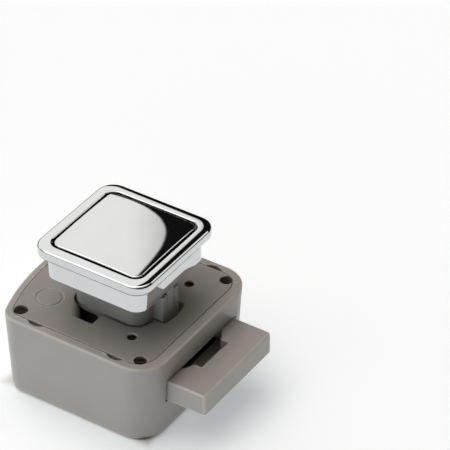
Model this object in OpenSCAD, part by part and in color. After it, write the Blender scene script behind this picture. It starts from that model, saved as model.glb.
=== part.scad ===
// Pushbutton furniture lock. Millimetres.
// Origin: on the button axis, in the plane of the case rim, which lies against
// the inside of the door. +Z points out through the door to the button,
// +X is the way the bolt comes out. Stored locked: button flush, bolt out.

/* [Case] */
// Distance from the button axis to the bolt face, at the rim
case_front = 22.8; // [22.6:0.1:23.2]
// Half width of the case across the bolt, at the rim
case_half = 23.5; // [23.3:0.1:24]
// Distance from the button axis to the crown of the bowed back wall
case_back = 25.75; // [25.5:0.05:26.2]
// Depth of the case from the rim to its back
case_h = 23.7; // [23.5:0.1:24.4]
// Radius of the bowed back wall
back_bow = 60.5; // [58:0.5:64]
// Radius of the two corners beside the bolt
front_corner = 8; // [7.5:0.1:8.4]
// Radius of the two corners at the bowed wall
back_corner = 3; // [2.8:0.1:3.4]
// How far the walls lean in from the rim to the back
draft = 0.9; // [0.6:0.1:1.1]
// Radius of the through holes for the fixing screws
screw_hole_r = 1.6; // [1.4:0.1:1.7]

/* [Cover] */
// Thickness of the cover plate
cover_t = 2.2; // [2:0.1:2.2]
// How far the cover lies below the rim
cover_drop = 0.05; // [0.05:0.05:0.1]

/* [Rosette and button] */
// Side of the square frame
frame_w = 33.3; // [32.9:0.1:35]
// Corner radius of the square frame
frame_r = 4.5; // [4:0.1:5]
// Thickness of the door between the case rim and the frame
door_t = 16; // [15.8:0.1:16.6]
// Thickness of the frame in front of the door
frame_t = 3; // [2.8:0.1:3.2]
// Outside of the sleeve that sits in the door's cut-out
sleeve_w = 28.9; // [28.7:0.1:29.2]
// Side of the button plate
button_w = 25.9; // [25.5:0.1:25.9]
// How far the button comes out when the lock is opened
button_travel = 9.5; // [8.5:0.1:9.5]

/* [Bolt] */
// Width of the bolt
bolt_w = 29.8; // [29:0.1:30]
// Thickness of the bolt
bolt_t = 6.15; // [6:0.05:6.2]
// How far the bolt's end stands from the button axis when it is out
bolt_end = 33.25; // [32.5:0.25:35]
// How far the bolt draws back
bolt_travel = 11.2; // [10:0.1:11.2]

/* [Hidden] */
$fn = 64;

grey = [0.56, 0.545, 0.525];
dark_grey = [0.40, 0.39, 0.38];
chrome = [0.86, 0.87, 0.88];
steel = [0.62, 0.63, 0.65];

// wall insets
rim_front = 2.7;
rim_side = 2.35;
rim_back = 1.85;
ledge = 1.05;
play = 0.12;
floor_z = -case_h + 1.7;

// fixing screws
screw_cx = -0.6;
screw_dx = 17.9;
screw_dy = 18.85;
post_r = 3;

// places of the cover's snap hooks
hook_x = [11.3, -5];

// heights
cover_top = -cover_drop;
cover_bot = -cover_drop - cover_t;
frame_top = door_t + frame_t;
plate_top = frame_top + 0.45;
sleeve_bot = 9.1;
bolt_top = -7.2;
bolt_bot = bolt_top - bolt_t;
tube_bot = -6.8;
tube_top = 14;
body_bot = -6.6;

// guide tube section
stem_x = 21.2;
stem_y = 18;
stem_r = 4;
bore_x = 18;
bore_y = 14.8;
bore_r = 2.4;
slide_gap = 0.1;

// cam
pin_r = 1;
pin_x = 5.3;
pin_z = -8.9;
cam_in = 5.5;
cam_out = 7;
cam_edge = 1.95;
pin_slot_r = pin_r + 0.05;

// latch
wire_r = 0.5;
wire_x = -7.3;
wire_pivot_z = -18.9;
wire_tip_z = -8.6;
tip_shift = 1.2;
tongue_back = -6.5;
tongue_front = -4;

// springs
spring_x = 3;
spring_y = 2.8;
coil_r = 1.9;
coil_wire = 0.3;
coil_turns = 16;

// ---- outlines -----------------------------------------------------------

function arc(cx, cy, r, a0, a1, n) =
    [for (i = [0:n]) let (a = a0 + (a1 - a0) * i / n) [cx + r * cos(a), cy + r * sin(a)]];

// Case outline: straight front and sides, round corners, bowed back
function outline(df, ds, db, extra) =
    let (xf = case_front - df, hy = case_half - ds, xb = case_back - db,
         R = back_bow - db, rf = max(front_corner - max(df, ds), 0.8),
         rb = max(back_corner - extra, 0.8),
         bx = R - xb, cy = hy - rb, cx = bx - sqrt((R - rb) * (R - rb) - cy * cy),
         t = atan2(cy, cx - bx))
    concat(arc(xf - rf, hy - rf, rf, 0, 90, 10),
           arc(cx, cy, rb, 90, t, 6),
           [for (i = [1:15]) let (a = t + (360 - 2 * t) * i / 16) [bx + R * cos(a), R * sin(a)]],
           arc(cx, -cy, rb, 360 - t, 270, 6),
           arc(xf - rf, -(hy - rf), rf, 270, 360, 10));

module rr(x, y, r) {
    square([x - 2 * r, y], center = true);
    square([x, y - 2 * r], center = true);
    for (i = [-1, 1], j = [-1, 1])
        translate([i * (x / 2 - r), j * (y / 2 - r)]) circle(r);
}

module block(x0, x1, y0, y1, z0, z1) {
    translate([x0, y0, z0]) cube([x1 - x0, y1 - y0, z1 - z0]);
}

// profile in XZ, from y0 to y1
module xz(y0, y1) {
    translate([0, y1, 0]) rotate([90, 0, 0]) linear_extrude(y1 - y0) children();
}

module both_y() {
    children();
    mirror([0, 1, 0]) children();
}

module at_screws() {
    for (i = [-1, 1], j = [-1, 1])
        translate([screw_cx + i * screw_dx, j * screw_dy, 0]) children();
}

// straight groove with round ends between two points
module groove(p, q, r) {
    d = q - p;
    translate(p) circle(r);
    translate(q) circle(r);
    translate(p) rotate(atan2(d[1], d[0])) translate([0, -r]) square([norm(d), 2 * r]);
}

// ---- case ---------------------------------------------------------------

// height below the rim, lean-in share, edge rounding
slices = [[0, 0, 0.45], [-0.15, 0, 0.2], [-0.5, 0.02, 0], [-case_h + 2.6, 0.89, 0],
          [-case_h + 1.3, 0.94, 0.12], [-case_h + 0.5, 0.98, 0.37], [-case_h, 1, 0.9]];

module case_slice(s, up, down) {
    translate([0, 0, s[0] - down])
        linear_extrude(up + down)
            polygon(outline(draft * 1.4 * s[1] + s[2], draft * s[1] + s[2],
                            draft * s[1] + s[2], s[2]));
}

module case_outer() {
    intersection() {
        hull() {
            case_slice(slices[0], 0.5, 0);
            for (i = [1:5]) case_slice(slices[i], 0.01, 0);
            case_slice(slices[6], 0, 0.5);
        }
        block(-40, 40, -40, 40, -case_h, 0);
    }
}

module cavity() {
    difference() {
        translate([0, 0, floor_z])
            linear_extrude(-floor_z + cover_bot + 0.01)
                polygon(outline(rim_front + ledge, rim_side + ledge, rim_back + ledge + 0.5, 1));
        // screw posts
        at_screws() translate([0, 0, -case_h]) cylinder(h = case_h + cover_bot, r = post_r);
        // rails under the bolt
        both_y() block(-15.5, 13.9, 15.4, 17.8, floor_z - 1, bolt_bot - 0.3);
        // ledges that carry the guide tube's foot
        both_y() block(3, 9, 18.9, 22, -6.5, -4.45);
        both_y() block(-14, -9, 18.9, 22, -6.5, -4.45);
        // spring locating pegs
        both_y() translate([spring_x, spring_y, floor_z - 1]) cylinder(h = 5, r = 1.35);
        // latch pivot block
        block(-11.8, -8.5, -1.6, 1.6, floor_z - 1, -17.3);
    }
}

module housing() {
    color(grey) difference() {
        case_outer();
        // recess for the cover
        translate([0, 0, cover_bot - 0.03])
            linear_extrude(10) polygon(outline(rim_front, rim_side, rim_back, 1));
        cavity();
        // bolt slot
        block(case_front - 8, 40, -bolt_w / 2 - 0.45, bolt_w / 2 + 0.45, bolt_bot - 0.28, bolt_top + 0.28);
        // finger notches in the rim's inner edge
        for (x = [11.3, -12.3], s = [-1, 1])
            translate([x, s * (case_half - rim_side - 2.36), cover_bot - 0.03]) cylinder(h = 5, r = 3.26);
        // fixing screw holes, countersunk at the back
        at_screws() {
            translate([0, 0, -case_h - 1]) cylinder(h = case_h, r = screw_hole_r);
            translate([0, 0, -case_h - 0.01]) cylinder(h = 1.1, r1 = 2.7, r2 = screw_hole_r);
            // wider under the cover
            translate([0, 0, -7]) cylinder(h = 7 + cover_bot, r = 2.3);
        }
        // pockets for the cover's snap hooks
        for (x = hook_x) both_y() block(x - 2, x + 2, 19, 21, -6, -4.5);
        // latch wire pivot
        translate([-13, 0, wire_pivot_z]) rotate([0, 90, 0]) cylinder(h = 6, r = wire_r + 0.05);
    }
}

// ---- cover --------------------------------------------------------------

module cover_opening() {
    rr(stem_x + 0.9, stem_y + 0.9, stem_r + 0.45);
    intersection() {
        circle(14.7);
        union() {
            translate([8, -3.95]) square([8, 9.4]);
            translate([-16, -3.95]) square([8, 7.9]);
        }
    }
    translate([-5.6, -13.8]) square([5.05, 6]);
}

module cover() {
    color(grey) {
        difference() {
            translate([0, 0, cover_bot]) linear_extrude(cover_t)
                difference() {
                    polygon(outline(rim_front + play, rim_side + play, rim_back + play, 1.1));
                    cover_opening();
                }
            // corner cut-outs over the fixing screws
            at_screws() translate([0, 0, -5]) cylinder(h = 8, r = 1.8);
            // small holes, wider underneath
            both_y() translate([10.2, 12.6, -5]) {
                cylinder(h = 8, r = 1.22);
                cylinder(h = 4.2, r = 1.7);
            }
            // plain moulding ring
            translate([-15.5, -11.1, cover_top - 0.12]) difference() {
                cylinder(h = 1, r = 3.45);
                translate([0, 0, -1]) cylinder(h = 3, r = 3.2);
            }
            // slope down into the slot
            xz(-13.8, -9.6) polygon([[-7.6, 0], [-5, 0], [-5, cover_bot - 1], [-5.6, cover_bot - 1], [-5.6, cover_bot]]);
        }
        // snap hooks
        for (x = hook_x) both_y() {
            block(x - 1.6, x + 1.6, 18.7, 19.7, -5.9, cover_bot + 0.2);
            block(x - 1.6, x + 1.6, 19.2, 20.6, -5.7, -4.8);
        }
    }
}

// ---- guide tube ---------------------------------------------------------

module tube_ribs(s) {
    both_y() translate([0, 1.6, 0])
        mirror([s < 0 ? 1 : 0, 0, 0])
            xz(0, 1.9) polygon([[9.5, -6.3], [13.4, -6.3], [13.4, 6.9], [12.3, 6.9], [12.3, 8.6], [9.5, 8.6]]);
}

module guide_tube() {
    color(grey) difference() {
        union() {
            translate([0, 0, tube_bot]) linear_extrude(tube_top - tube_bot) rr(stem_x, stem_y, stem_r);
            for (s = [1, -1]) tube_ribs(s);
            // foot under the cover
            translate([0, 0, cover_bot - 2.1]) linear_extrude(2)
                difference() {
                    union() {
                        for (s = [-1, 1]) {
                            translate([3.3, s > 0 ? 7 : -19.7]) square([5.4, 12.7]);
                            translate([3.3, s > 0 ? 7 : -15]) square([9.2, 8]);
                            translate([-13.7, s > 0 ? 6 : -19.7]) square([4.4, 13.7]);
                            translate([-13.7, s > 0 ? 3.4 : -8]) square([4.4, 4.6]);
                        }
                    }
                    // clear of the slot in the cover
                    translate([-9, -15]) square([9, 6.2]);
                }
        }
        translate([0, 0, tube_bot - 1]) linear_extrude(40) rr(bore_x, bore_y, bore_r);
        both_y() translate([10.2, 12.6, -8]) cylinder(h = 8, r = 1.7);
        // arch in the near wall, above the slot
        translate([-4, -5, -4.6]) rotate([90, 0, 0]) cylinder(h = 6, r = 2.7);
        block(-6.7, -1.3, -11, -5, -9, -4.6);
        // way for the rosette's legs
        for (s = [-1, 1]) block(s > 0 ? 11 : -16, s > 0 ? 16 : -11, -1.6, 1.6, -9, 12);
        // soft lead-in at the top
        translate([0, 0, tube_top - 0.6]) linear_extrude(2) difference() {
            square(40, center = true);
            rr(stem_x - 0.8, stem_y - 0.8, stem_r - 0.4);
        }
    }
}

// ---- rosette ------------------------------------------------------------

bore_w = button_w + 1.2;

module rosette() {
    color(chrome) {
        difference() {
            union() {
                // frame with eased edges
                translate([0, 0, door_t]) linear_extrude(frame_t - 0.8) rr(frame_w, frame_w, frame_r);
                translate([0, 0, door_t + frame_t - 1.2]) linear_extrude(0.8) rr(frame_w - 0.5, frame_w - 0.5, frame_r - 0.25);
                translate([0, 0, door_t + frame_t - 0.8]) linear_extrude(0.8) rr(frame_w - 1.4, frame_w - 1.4, frame_r - 0.7);
                translate([0, 0, sleeve_bot]) linear_extrude(door_t - sleeve_bot + 1) rr(sleeve_w, sleeve_w, 3.5);
            }
            translate([0, 0, sleeve_bot - 1]) linear_extrude(30) rr(bore_w, bore_w, 2.9);
        }
        // snap legs
        for (s = [0, 1]) mirror([s, 0, 0]) {
            xz(-1.35, 1.35) polygon([[13.2, 10.6], [13.7, 10.6], [14.1, 9.7], [14.1, 8.7], [13.4, 7.9], [13.4, -2.6],
                                     [14.95, -2.6], [14.95, -3.2], [13.4, -5.7], [11.9, -5.7], [11.9, 7.6], [13.2, 8.7]]);
        }
    }
}

// ---- button cap ---------------------------------------------------------

cap_skirt_bot = 8.95;

module button_cap() {
    color(chrome) difference() {
        intersection() {
            translate([0, 0, cap_skirt_bot]) linear_extrude(20) rr(button_w, button_w, 2.2);
            // slightly crowned face
            translate([0, 0, plate_top - 300]) sphere(r = 300, $fn = 360);
        }
        difference() {
            translate([0, 0, 0]) linear_extrude(plate_top - 2.15) rr(button_w - 1.8, button_w - 1.8, 1.3);
            // socket round the plunger's head
            translate([0, 0, 14.7]) linear_extrude(10) difference() {
                rr(bore_x + 2.6, bore_y + 2.6, 3);
                rr(bore_x + 0.1, bore_y + 0.1, bore_r);
            }
        }
    }
}

// ---- plunger ------------------------------------------------------------

cam_a = [pin_x, pin_z];
cam_b = [pin_x - bolt_travel, pin_z - button_travel];

module plunger() {
    color(dark_grey) {
        difference() {
            union() {
                difference() {
                    translate([0, 0, body_bot]) linear_extrude(plate_top - 2.25 - body_bot)
                        rr(bore_x - 2 * slide_gap, bore_y - 2 * slide_gap, bore_r - slide_gap);
                    translate([0, 0, body_bot - 1]) linear_extrude(13.5 - body_bot + 1)
                        rr(bore_x - 3.2, 2 * cam_in, 1);
                }
                // cross wall that carries the latch track
                block(tongue_back, tongue_front, -cam_in - 0.5, cam_in + 0.5, body_bot, 13.7);
                block(tongue_back, tongue_front, -4.2, 4.2, -20.6, body_bot + 1);
                // cam plates
                both_y() xz(cam_in, cam_out) {
                    groove(cam_a, cam_b, cam_edge);
                    polygon([[-1, body_bot + 1], [pin_x + 1.5, body_bot + 1], [pin_x + 1.5, pin_z], cam_a, cam_b, [-1, -10.5]]);
                }
                // spring pegs under the head
                both_y() translate([spring_x, spring_y, 10.5]) cylinder(h = 3.5, r = 1.35);
            }
            // inclined slots
            both_y() xz(cam_in - 1, cam_out + 1) groove(cam_a, cam_b, pin_slot_r);
            // heart-shaped latch track
            translate([tongue_back - 1, 0, 0]) rotate([90, 0, 90]) linear_extrude(2.3) {
                groove([0, wire_tip_z], [-tip_shift, wire_tip_z - button_travel - 0.1], 0.68);
                groove([0, wire_tip_z], [-1.3, wire_tip_z + 0.9], 0.68);
                groove([0, wire_tip_z], [1.2, wire_tip_z + 0.9], 0.68);
                groove([1.2, wire_tip_z + 0.9], [2.1, wire_tip_z - 1.6], 0.68);
                groove([2.1, wire_tip_z - 1.6], [1.2, wire_tip_z - button_travel + 1.2], 0.68);
                groove([1.2, wire_tip_z - button_travel + 1.2], [-tip_shift, wire_tip_z - button_travel - 0.1], 0.68);
            }
        }
    }
}

// ---- bolt ---------------------------------------------------------------

module bolt() {
    win = 11.9;
    rec_x = bolt_end - 22.85;
    color(grey) difference() {
        union() {
            block(5, bolt_end, -bolt_w / 2, bolt_w / 2, bolt_bot, bolt_top);
            block(-3.6, 13.9, -18.5, 18.5, bolt_bot, bolt_top);
            intersection() {
                block(-12, 0, -14, 14, bolt_bot, bolt_top);
                translate([-10.7 + 56.5, 0, bolt_bot - 1]) cylinder(h = 20, r = 56.5, $fn = 200);
            }
        }
        // round window
        intersection() {
            translate([rec_x, 0, -30]) cylinder(h = 60, r = 15);
            block(5, 40, -win, win, -30, 30);
        }
        block(-3.3, 6, -win, win, -30, 30);
        block(-8.7, -3, -5.2, 5.2, -30, 30);
        // pocket with a sloped front wall
        xz(-5.7, 5.7) polygon([[rec_x + 8, bolt_top + 1], [rec_x + 16.2 + 0.5, bolt_top + 1], [rec_x + 16.2, bolt_top],
                               [rec_x + 13.9, bolt_top - 4.75], [rec_x + 8, bolt_top - 4.75]]);
        // eased end corners
        for (s = [-1, 1]) translate([bolt_end, s * bolt_w / 2, -30]) rotate(45) cube([1.2, 1.2, 100], center = true);
        // drive pin holes
        both_y() translate([pin_x, 0, pin_z]) rotate([-90, 0, 0]) cylinder(h = 16.6, r = pin_r + 0.02);
    }
}

module drive_pin(s) {
    color(steel) translate([pin_x, s > 0 ? 5.3 : -16.5, pin_z]) rotate([-90, 0, 0]) cylinder(h = 11.2, r = pin_r);
}

module drive_pin_left() { drive_pin(1); }
module drive_pin_right() { drive_pin(-1); }

// ---- springs ------------------------------------------------------------

module coil(r, w, z0, z1, turns) {
    n = 12;
    m = 6;
    steps = turns * n;
    pts = [for (i = [0:steps]) let (a = 360 * i / n, f = i / steps,
              z = z0 + w + (z1 - z0 - 2 * w) * f)
              for (j = [0:m - 1]) let (b = 360 * j / m)
                  [(r + w * cos(b)) * cos(a), (r + w * cos(b)) * sin(a), z + w * sin(b)]];
    faces = concat([[for (j = [m - 1:-1:0]) j]],
                   [for (i = [0:steps - 1], j = [0:m - 1], k = [0, 1]) let (
                       a = i * m + j, b = (i + 1) * m + j,
                       c = (i + 1) * m + (j + 1) % m, d = i * m + (j + 1) % m)
                       k == 0 ? [a, c, b] : [a, d, c]],
                   [[for (j = [0:m - 1]) steps * m + j]]);
    polyhedron(pts, faces, convexity = 10);
}

module return_spring(s) {
    color(steel) translate([spring_x, s * spring_y, 0])
        coil(coil_r, coil_wire, floor_z + 0.1, 13.4, coil_turns);
}

module return_spring_left() { return_spring(1); }
module return_spring_right() { return_spring(-1); }

// ---- latch --------------------------------------------------------------

module latch_wire() {
    color(steel) {
        translate([-11.6, 0, wire_pivot_z]) rotate([0, 90, 0]) cylinder(h = wire_x + 11.6, r = wire_r);
        translate([wire_x, 0, wire_pivot_z]) sphere(wire_r);
        translate([wire_x, 0, wire_pivot_z]) cylinder(h = wire_tip_z - wire_pivot_z, r = wire_r);
        translate([wire_x, 0, wire_tip_z]) sphere(wire_r);
        translate([wire_x, 0, wire_tip_z]) rotate([0, 90, 0]) cylinder(h = 1.8, r = wire_r);
    }
}

module latch_spring() {
    color(steel) difference() {
        xz(-1.5, 1.5) polygon([[-8.4, floor_z + 0.05], [-8.15, floor_z + 0.05], [-8.15, -12], [-7.9, -9.6], [-8.15, -9.2],
                               [-8.4, -9.2], [-8.15, -9.7], [-8.4, -12]]);
        translate([-12, 0, wire_pivot_z]) rotate([0, 90, 0]) cylinder(h = 6, r = 0.8);
    }
}

housing();
cover();
guide_tube();
rosette();
button_cap();
plunger();
bolt();
drive_pin_left();
drive_pin_right();
return_spring_left();
return_spring_right();
latch_wire();
latch_spring();
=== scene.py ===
import math

import bpy
import numpy as np
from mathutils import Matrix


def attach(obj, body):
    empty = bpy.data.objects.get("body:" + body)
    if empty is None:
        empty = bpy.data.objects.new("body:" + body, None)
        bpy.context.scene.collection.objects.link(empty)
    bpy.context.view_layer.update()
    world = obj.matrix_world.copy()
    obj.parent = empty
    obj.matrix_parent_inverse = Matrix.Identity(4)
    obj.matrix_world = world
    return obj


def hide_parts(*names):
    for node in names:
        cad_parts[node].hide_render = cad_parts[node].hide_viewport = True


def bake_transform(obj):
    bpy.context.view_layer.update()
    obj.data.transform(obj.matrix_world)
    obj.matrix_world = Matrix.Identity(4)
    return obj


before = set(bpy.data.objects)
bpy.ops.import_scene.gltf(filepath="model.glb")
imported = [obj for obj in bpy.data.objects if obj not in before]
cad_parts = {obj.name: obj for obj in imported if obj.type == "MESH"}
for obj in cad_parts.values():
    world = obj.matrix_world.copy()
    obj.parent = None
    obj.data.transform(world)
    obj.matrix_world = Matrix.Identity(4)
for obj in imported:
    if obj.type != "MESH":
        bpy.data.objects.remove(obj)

import openvdb
from mathutils import Matrix, Vector

scene = bpy.context.scene
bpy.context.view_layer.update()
MM = 0.001

# ---------------------------------------------------------------------------
# Camera: the view of the photograph, a long lens about two thirds of a metre off
# ---------------------------------------------------------------------------
AZ, EL = math.radians(33.263), math.radians(36.757)
FOCAL, SCALE = 2700.0, 4.02596
DIST = FOCAL / SCALE
c_right = Vector((math.cos(AZ), math.sin(AZ), 0.0))
c_back = Vector((math.sin(AZ) * math.cos(EL), -math.cos(AZ) * math.cos(EL), math.sin(EL)))
c_up = c_back.cross(c_right)
off_x = (126.368 - 225.0) / SCALE
off_y = -(295.238 - 225.0) / SCALE
cam_pos = (c_back * DIST - c_right * off_x - c_up * off_y) * MM

cam_data = bpy.data.cameras.new("camera")
cam_data.sensor_width = 36.0
cam_data.lens = 36.0 * FOCAL / 450.0
cam_data.clip_start = 0.01
cam_data.clip_end = 20.0
cam = bpy.data.objects.new("camera", cam_data)
rot = Matrix((c_right, c_up, c_back)).transposed()
cam.matrix_world = Matrix.Translation(cam_pos) @ rot.to_4x4()
scene.collection.objects.link(cam)
scene.camera = cam
scene.view_settings.view_transform = "Standard"


# ---------------------------------------------------------------------------
# Materials
# ---------------------------------------------------------------------------
def new_material(name):
    m = bpy.data.materials.new(name)
    m.use_nodes = True
    nt = m.node_tree
    nt.nodes.clear()
    out = nt.nodes.new("ShaderNodeOutputMaterial")
    b = nt.nodes.new("ShaderNodeBsdfPrincipled")
    nt.links.new(b.outputs["BSDF"], out.inputs["Surface"])
    co = nt.nodes.new("ShaderNodeTexCoord")
    return m, nt, b, co


def noise(nt, co, scale, detail, stretch=None):
    n = nt.nodes.new("ShaderNodeTexNoise")
    n.inputs["Scale"].default_value = scale
    n.inputs["Detail"].default_value = detail
    n.inputs["Roughness"].default_value = 0.55
    if stretch is None:
        nt.links.new(co.outputs["Object"], n.inputs["Vector"])
    else:
        mp = nt.nodes.new("ShaderNodeMapping")
        mp.inputs["Scale"].default_value = stretch
        nt.links.new(co.outputs["Object"], mp.inputs["Vector"])
        nt.links.new(mp.outputs["Vector"], n.inputs["Vector"])
    return n


def ramp(nt, src, stops):
    r = nt.nodes.new("ShaderNodeValToRGB")
    els = r.color_ramp.elements
    while len(els) < len(stops):
        els.new(0.5)
    for e, (pos, col) in zip(els, stops):
        e.position = pos
        e.color = (*col, 1.0)
    nt.links.new(src, r.inputs["Fac"])
    return r


def ranged(nt, src, lo, hi, a=0.3, b=0.7):
    m = nt.nodes.new("ShaderNodeMapRange")
    m.inputs["From Min"].default_value = a
    m.inputs["From Max"].default_value = b
    m.inputs["To Min"].default_value = lo
    m.inputs["To Max"].default_value = hi
    nt.links.new(src, m.inputs["Value"])
    return m


# how much lighter the painted highlight on rounded outer edges is
EDGE_HIGHLIGHT_GAIN = 1.40


def plastic(name, col, rough, spread, grain):
    """Moulded plastic: cloudy colour, fine eroded grain, uneven satin gloss."""
    m, nt, b, co = new_material(name)
    cloud = noise(nt, co, 130.0, 4.0)
    fine = noise(nt, co, 5200.0, 3.0)
    flow = noise(nt, co, 60.0, 2.0, (1.0, 1.0, 3.0))
    mix = nt.nodes.new("ShaderNodeMix")
    mix.data_type = "FLOAT"
    mix.inputs["Factor"].default_value = 0.35
    nt.links.new(cloud.outputs["Fac"], mix.inputs["A"])
    nt.links.new(fine.outputs["Fac"], mix.inputs["B"])
    lo = tuple(c * (1 - spread) for c in col)
    hi = tuple(c * (1 + spread) for c in col)
    r = ramp(nt, mix.outputs["Result"], [(0.36, lo), (0.64, hi)])
    # painted highlight: the colour is made lighter on the rounded outer edges, standing in for the light those
    # edges catch
    edge_highlight_mask = nt.nodes.new("ShaderNodeAttribute")
    edge_highlight_mask.attribute_name = "edge"
    light = ramp(nt, mix.outputs["Result"], [(0.30, tuple(c * EDGE_HIGHLIGHT_GAIN * 0.97 for c in col)), (0.70, tuple(c * EDGE_HIGHLIGHT_GAIN * 1.03 for c in col))])
    edge_highlight_mix = nt.nodes.new("ShaderNodeMix")
    edge_highlight_mix.data_type = "RGBA"
    nt.links.new(edge_highlight_mask.outputs["Fac"], edge_highlight_mix.inputs["Factor"])
    nt.links.new(r.outputs["Color"], edge_highlight_mix.inputs["A"])
    nt.links.new(light.outputs["Color"], edge_highlight_mix.inputs["B"])
    nt.links.new(edge_highlight_mix.outputs["Result"], b.inputs["Base Color"])
    rg = ranged(nt, flow.outputs["Fac"], rough - 0.04, rough + 0.05)
    nt.links.new(rg.outputs["Result"], b.inputs["Roughness"])
    b.inputs["IOR"].default_value = 1.53
    bump = nt.nodes.new("ShaderNodeBump")
    bump.inputs["Strength"].default_value = grain
    bump.inputs["Distance"].default_value = 0.00003
    nt.links.new(fine.outputs["Fac"], bump.inputs["Height"])
    nt.links.new(bump.outputs["Normal"], b.inputs["Normal"])
    return m


def chrome_plate(name):
    """Bright plating over a moulding: a hint of haze and of flow under the mirror."""
    m, nt, b, co = new_material(name)
    cloud = noise(nt, co, 90.0, 3.0)
    haze = noise(nt, co, 700.0, 4.0)
    r = ramp(nt, cloud.outputs["Fac"], [(0.35, (0.625, 0.628, 0.637)), (0.65, (0.652, 0.655, 0.662))])
    nt.links.new(r.outputs["Color"], b.inputs["Base Color"])
    b.inputs["Metallic"].default_value = 1.0
    rg = ranged(nt, haze.outputs["Fac"], 0.010, 0.022)
    nt.links.new(rg.outputs["Result"], b.inputs["Roughness"])
    bump = nt.nodes.new("ShaderNodeBump")
    bump.inputs["Strength"].default_value = 0.02
    bump.inputs["Distance"].default_value = 0.00002
    nt.links.new(cloud.outputs["Fac"], bump.inputs["Height"])
    nt.links.new(bump.outputs["Normal"], b.inputs["Normal"])
    return m


def steel(name, stretch):
    """Drawn wire: fine lines along the wire, uneven gloss."""
    m, nt, b, co = new_material(name)
    lines = noise(nt, co, 2500.0, 3.0, stretch)
    cloud = noise(nt, co, 350.0, 3.0)
    r = ramp(nt, cloud.outputs["Fac"], [(0.35, (0.40, 0.405, 0.41)), (0.65, (0.56, 0.565, 0.575))])
    nt.links.new(r.outputs["Color"], b.inputs["Base Color"])
    b.inputs["Metallic"].default_value = 1.0
    rg = ranged(nt, lines.outputs["Fac"], 0.24, 0.42)
    nt.links.new(rg.outputs["Result"], b.inputs["Roughness"])
    bump = nt.nodes.new("ShaderNodeBump")
    bump.inputs["Strength"].default_value = 0.25
    bump.inputs["Distance"].default_value = 0.00002
    nt.links.new(lines.outputs["Fac"], bump.inputs["Height"])
    nt.links.new(bump.outputs["Normal"], b.inputs["Normal"])
    return m


mat_case = plastic("case_plastic", (0.394, 0.366, 0.338), 0.33, 0.035, 0.10)
mat_cover = plastic("cover_plastic", (0.318, 0.297, 0.275), 0.40, 0.035, 0.10)
mat_bolt = plastic("bolt_plastic", (0.420, 0.393, 0.365), 0.33, 0.035, 0.10)
# the push stem inside is coloured near black: painted shade, so the openings and gaps that look onto it read dark
mat_inner = plastic("inner_plastic", (0.085, 0.082, 0.078), 0.45, 0.06, 0.15)
mat_chrome = chrome_plate("bright_chrome")
mat_pin = steel("pin_steel", (1.0, 0.08, 1.0))
mat_wire = steel("wire_steel", (1.0, 1.0, 0.08))


# ---------------------------------------------------------------------------
# Solid shapes as distance fields, in millimetres: below zero is inside
# ---------------------------------------------------------------------------
def rmax(a, b, r=0.0):
    """Both, with the outer edge between them rounded to r."""
    if r <= 0:
        return np.maximum(a, b)
    u = np.maximum(a + r, 0)
    v = np.maximum(b + r, 0)
    return np.minimum(np.maximum(a, b), -r) + np.sqrt(u * u + v * v)


def rmin(a, b, r=0.0):
    """Either, with the inner corner between them filled to r."""
    return -rmax(-a, -b, r)


def cut(a, b, r=0.0):
    return rmax(a, -b, r)


def span(t, lo, hi):
    return np.abs(t - 0.5 * (lo + hi)) - 0.5 * (hi - lo)


def brick(p, x0, x1, y0, y1, z0, z1, r=0.0):
    x, y, z = p
    return rmax(rmax(span(x, x0, x1), span(y, y0, y1), r), span(z, z0, z1), r)


def rod(u, v, w, cu, cv, rad, w0, w1, r=0.0):
    return rmax(np.hypot(u - cu, v - cv) - rad, span(w, w0, w1), r)


def rect2(x, y, w, h, r):
    qx = np.abs(x) - (w / 2 - r)
    qy = np.abs(y) - (h / 2 - r)
    return np.hypot(np.maximum(qx, 0), np.maximum(qy, 0)) + np.minimum(np.maximum(qx, qy), 0) - r


def poly2(x, y, pts):
    """Signed distance to a closed polygon."""
    x, y = np.broadcast_arrays(x, y)
    d = np.full(x.shape, 1e9, dtype=x.dtype)
    inside = np.zeros(x.shape, dtype=bool)
    n = len(pts)
    for i in range(n):
        ax, ay = pts[i]
        bx, by = pts[(i + 1) % n]
        ex, ey = bx - ax, by - ay
        wx, wy = x - ax, y - ay
        t = np.clip((wx * ex + wy * ey) / (ex * ex + ey * ey), 0, 1)
        d = np.minimum(d, (wx - ex * t) ** 2 + (wy - ey * t) ** 2)
        hit = (ay > y) != (by > y)
        if by != ay:
            inside ^= hit & (x < (bx - ax) * (y - ay) / (by - ay) + ax)
    d = np.sqrt(d)
    return np.where(inside, -d, d)


def seg2(x, y, a, b):
    ex, ey = b[0] - a[0], b[1] - a[1]
    wx, wy = x - a[0], y - a[1]
    t = np.clip((wx * ex + wy * ey) / (ex * ex + ey * ey), 0, 1)
    return np.hypot(wx - ex * t, wy - ey * t)


# sizes shared by the pieces
FRONT, HALF, BACK, CASE_H, BOW = 22.8, 23.5, 25.75, 23.7, 60.5
SCREWS = [(-0.6 + i * 17.9, j * 18.85) for i in (-1, 1) for j in (-1, 1)]
HOOKS = (11.3, -5.0)
BOLT_TOP, BOLT_BOT = -7.2, -13.35
FLOOR_Z = -22.0
PIN_X, PIN_Z = 5.3, -8.9


def outline(x, y, df, ds, db, rf, rb):
    """The case seen from above: straight front and sides, bowed back."""
    a = x - (FRONT - df)
    c = np.abs(y) - (HALF - ds)
    d = np.hypot(x - (BOW - BACK), y) - (BOW - db)
    return rmax(rmax(a, c, rf), d, rb)


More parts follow.
